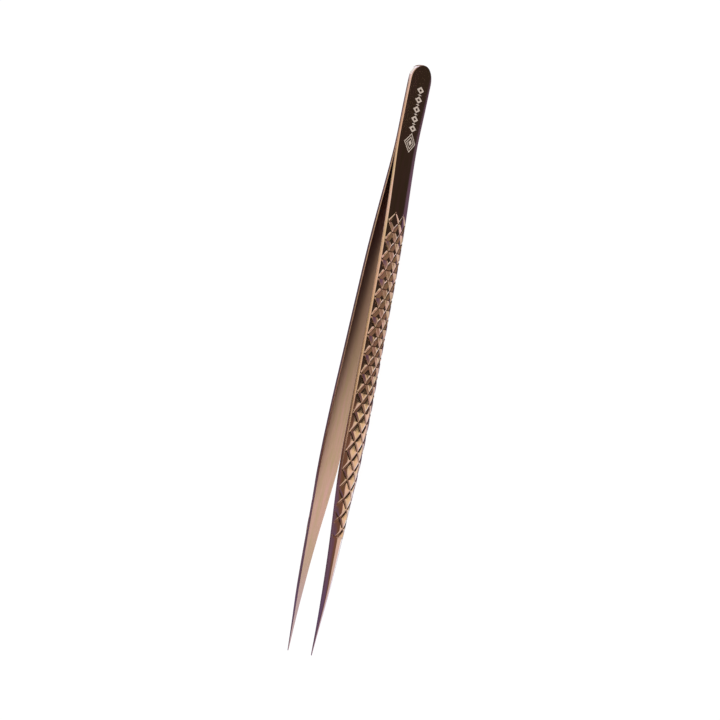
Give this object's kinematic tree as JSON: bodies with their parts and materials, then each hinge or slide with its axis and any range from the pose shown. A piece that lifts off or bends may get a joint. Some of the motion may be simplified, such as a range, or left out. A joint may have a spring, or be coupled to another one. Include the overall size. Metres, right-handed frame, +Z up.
{
  "type": "fine-point precision tongs",
  "caption": "Straight spring tongs with needle-fine points: two bowed steel arms with a diamond grip, spot-welded at a rounded flat tail, squeezed to close.",
  "frame": {"origin": "middle of the bounding box, on the surface that the long side edges lie on", "axes": "+X from the points to the tail, Y across the opening (front arm at -Y, rear arm at +Y), +Z up across the width of the arms"},
  "size_m": [0.14, 0.0102, 0.0078],
  "materials": {
    "bronze_finish_steel": "polished bronze-coloured coating on steel",
    "weld_steel": "bare fused steel"
  },
  "bodies": {
    "weld_end": {"front_arm_tail": "bronze_finish_steel", "rear_arm_tail": "bronze_finish_steel", "spot_welds": "weld_steel"},
    "front_arm": {"front_arm_blade": "bronze_finish_steel"},
    "rear_arm": {"rear_arm_blade": "bronze_finish_steel"}
  },
  "joints": [
    {"name": "front_arm_flex", "type": "hinge", "parent": "weld_end", "child": "front_arm", "pos_m": [0.044, -0.00075, 0.0039], "axis": [0, 0, -1], "range_deg": [0, 1.71], "stiffness_Nm_per_rad": 3},
    {"name": "rear_arm_flex", "type": "hinge", "parent": "weld_end", "child": "rear_arm", "pos_m": [0.044, 0.00075, 0.0039], "axis": [0, 0, 1], "range_deg": [0, 1.71], "stiffness_Nm_per_rad": 3}
  ]
}
